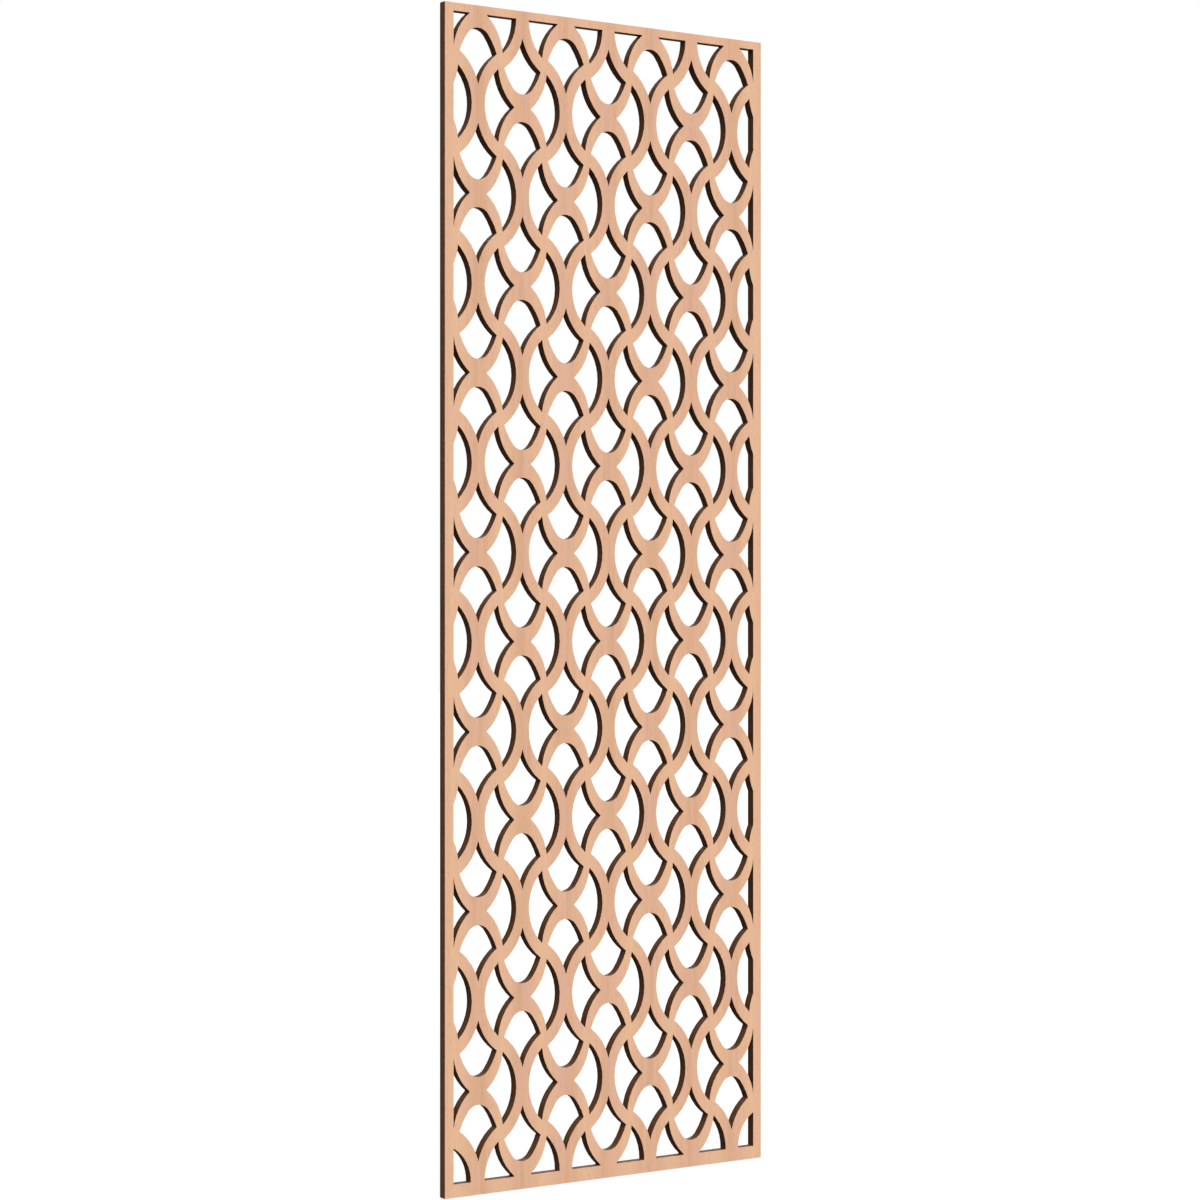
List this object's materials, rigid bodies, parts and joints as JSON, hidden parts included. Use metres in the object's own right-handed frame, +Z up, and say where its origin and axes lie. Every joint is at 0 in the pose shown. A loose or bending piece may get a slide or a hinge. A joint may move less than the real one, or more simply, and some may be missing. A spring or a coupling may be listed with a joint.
{
  "type": "fretwork wood panel",
  "caption": "Tall flat wooden screen panel with a wavy openwork lattice cut through it, for a wall, a frame or a room divider.",
  "frame": {"origin": "middle of the panel's bottom edge, centred in its width and in its thickness", "axes": "+Z up the panel's height, +X across its width to the right as seen from the front, +Y out of its back face; the front face looks along -Y"},
  "size_m": [0.3906, 0.0094, 1.1843],
  "materials": {
    "face_veneer": "smooth unfinished pinkish tan veneer with fine upright grain",
    "crossband_ply": "cut edge browned by the cutting, matt",
    "core_ply": "cut edge browned by the cutting, matt"
  },
  "bodies": {
    "root": {"back_veneer": "face_veneer", "back_crossband": "crossband_ply", "centre_core": "core_ply", "front_crossband": "crossband_ply", "front_veneer": "face_veneer"}
  },
  "joints": []
}
